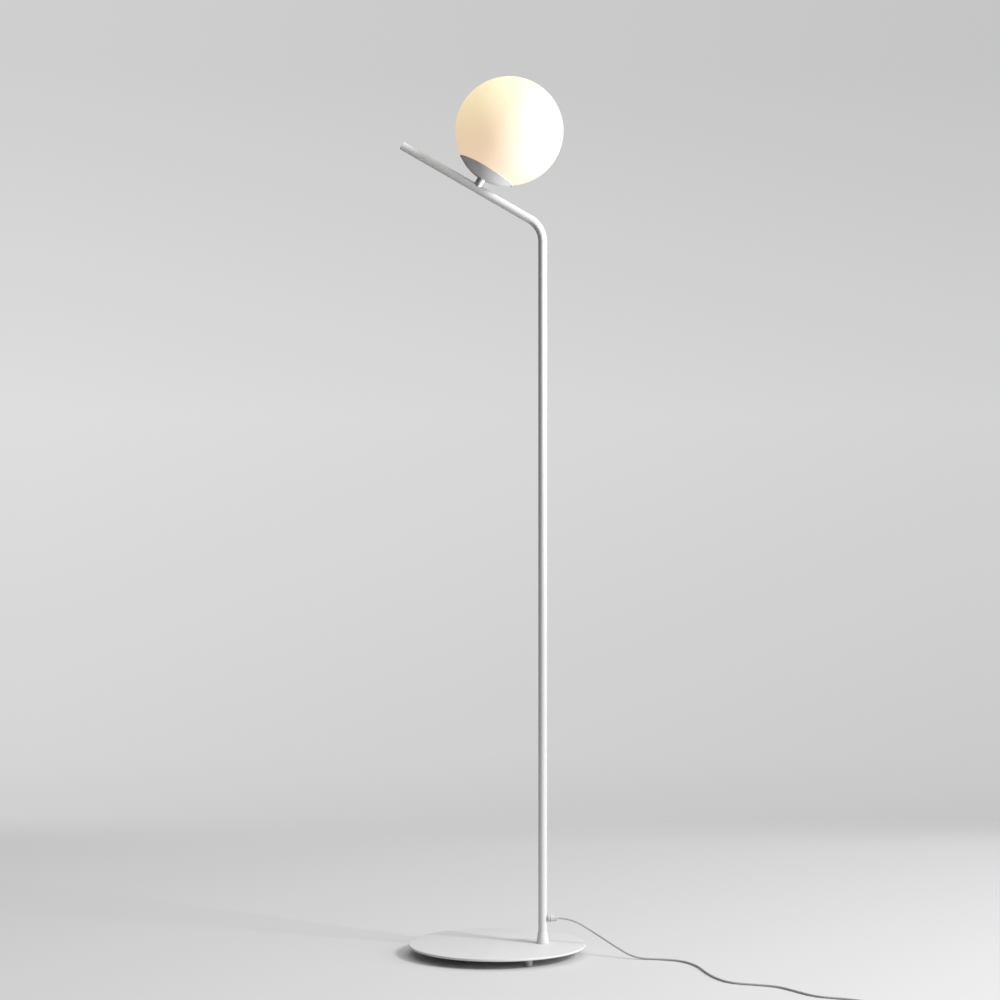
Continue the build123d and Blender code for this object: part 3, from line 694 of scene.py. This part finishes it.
def makePlug(p, r):
    place = Matrix.Translation((mm(p["x"]), mm(p["y"]), mm(p["z"])))
    bpy.ops.mesh.primitive_cube_add(size=1, location=(0, 0, 0))
    body = bpy.context.object
    body.name = body.data.name = "plugBody"
    bpy.ops.object.mode_set(mode="EDIT")
    bpy.ops.transform.resize(value=(mm(p["slab"]), mm(p["wide"]), mm(p["thick"])))
    bpy.ops.transform.translate(value=(mm(p["slab"] / 2), 0, 0))
    pick(body, "faces", lambda f: f.normal.x > 0.9)
    bpy.ops.mesh.extrude_region_move(TRANSFORM_OT_translate={"value": (mm(p["deep"] - p["slab"]), 0, 0)})
    bpy.ops.transform.resize(value=(1, p["rearWide"] / p["wide"], p["rearThick"] / p["thick"]))
    pick(body, "edges", lambda e: abs((e.verts[0].co - e.verts[1].co).x) > mm(5))  # the long corners
    bpy.ops.mesh.bevel(offset=mm(p["corner"]), offset_type="WIDTH", segments=8, affect="EDGES",
                       clamp_overlap=True)
    pick(body, "edges", lambda e: max(v.co.x for v in e.verts) < 1e-6)  # the edge round the face
    bpy.ops.mesh.bevel(offset=mm(0.6), segments=3, affect="EDGES", clamp_overlap=True)
    for x in p["grooves"]:
        for side in (0, p["grooveWide"]):
            bpy.ops.mesh.select_all(action="SELECT")
            bpy.ops.mesh.bisect(plane_co=(mm(x + side), 0, 0), plane_no=(1, 0, 0))
    pick(body, "faces", lambda f: abs(f.normal.x) < 0.75 and any(
        mm(x) < f.calc_center_median().x < mm(x + p["grooveWide"]) for x in p["grooves"]))
    bpy.ops.mesh.extrude_region_shrink_fatten(TRANSFORM_OT_shrink_fatten={"value": -mm(p["grooveDeep"])})
    closeUp()
    bpy.ops.object.mode_set(mode="OBJECT")
    settle(body, sparkedAbs, "stand", ["plug_body"], place, 30)
    settle(makeRelief("plugSleeve", r), sparkedAbs, "stand", ["plug_sleeve"],
           place @ Matrix.Translation((mm(p["deep"]), 0, 0)) @ Matrix.Rotation(math.pi / 2, 4, "Y"))


makeSwitch(switch, relief)
makePlug(plug, relief)
print("switch and plug made")


# cords

cordLook = {"diameter": 0.0036}
mainsRoute = [  # out of the grip, down to the floor and along it to the foot switch
    (0.1105, 0.0, 0.066), (0.136, 0.0, 0.066), (0.176, -0.009, 0.043), (0.214, -0.030, 0.021),
    (0.251, -0.054, 0.00185), (0.300, -0.062, 0.00185), (0.338, -0.080, 0.00185), (0.360, -0.128, 0.00185),
    (0.368, -0.181, 0.00185), (0.380, -0.235, 0.00185), (0.403, -0.283, 0.00185), (0.446, -0.298, 0.00185),
    (0.483, -0.314, 0.00185), (0.509, -0.357, 0.00185), (0.537, -0.401, 0.00185), (0.586, -0.419, 0.00185),
    (0.624, -0.447, 0.00185), (0.640, -0.492, 0.00185), (0.629, -0.531, 0.0032), (0.609, -0.548, 0.006),
    (0.588, -0.548, 0.006),
]
coil = {"centre": (0.400, -0.519025), "turns": 3.25, "inner": 0.0137, "step": 0.0047, "layer": 0.0045,
        "low": 0.00185, "perTurn": 16}
coilLead = [(0.472, -0.548, 0.006), (0.458, -0.548, 0.006), (0.435, -0.552, 0.0029), (0.417, -0.548, 0.00185)]
plugLead = [(0.380, -0.548, 0.00635), (0.365, -0.543, 0.00485), (0.349, -0.541, 0.00685),
            (0.335, -0.541, 0.00685)]


def coilPoints(c):  # in on the floor, up a layer in the half turn where it reverses, and out on top
    points = []
    total = 2 * c["turns"] + 0.5
    for i in range(round(total * c["perTurn"]) + 1):
        turn = i / c["perTurn"]
        inward = min(turn, c["turns"])
        outward = max(turn - c["turns"] - 0.5, 0)
        climb = min(max((turn - c["turns"]) / 0.5, 0), 1)
        radius = c["inner"] + c["step"] * (c["turns"] - inward + outward)
        angle = -math.pi / 2 - 2 * math.pi * turn
        rise = c["layer"] * (1 - math.cos(math.pi * climb)) / 2
        points.append((c["centre"][0] + radius * math.cos(angle), c["centre"][1] + radius * math.sin(angle),
                       c["low"] + rise))
    return points


def layCord(name, points, diameter):
    data = bpy.data.curves.new(name, "CURVE")
    data.dimensions = "3D"
    spline = data.splines.new("NURBS")
    spline.points.add(len(points) - 1)
    for point, place in zip(spline.points, points):
        point.co = (*place, 1)
    spline.order_u = 3
    spline.use_endpoint_u = True
    spline.resolution_u = 6
    data.bevel_depth = diameter / 2
    data.bevel_resolution = 5
    data.use_fill_caps = True
    data.materials.append(softPvc)
    cord = bpy.data.objects.new(name, data)
    bpy.context.scene.collection.objects.link(cord)
    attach(cord, "stand")
    return cord


mainsCord = layCord("mainsCord", mainsRoute, cordLook["diameter"])
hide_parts("mains_cord")
coiledCord = layCord("coiledCord", coilLead + coilPoints(coil) + plugLead, cordLook["diameter"])
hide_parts("coil_lead", "cord_coil", "plug_lead")
print("cords laid")
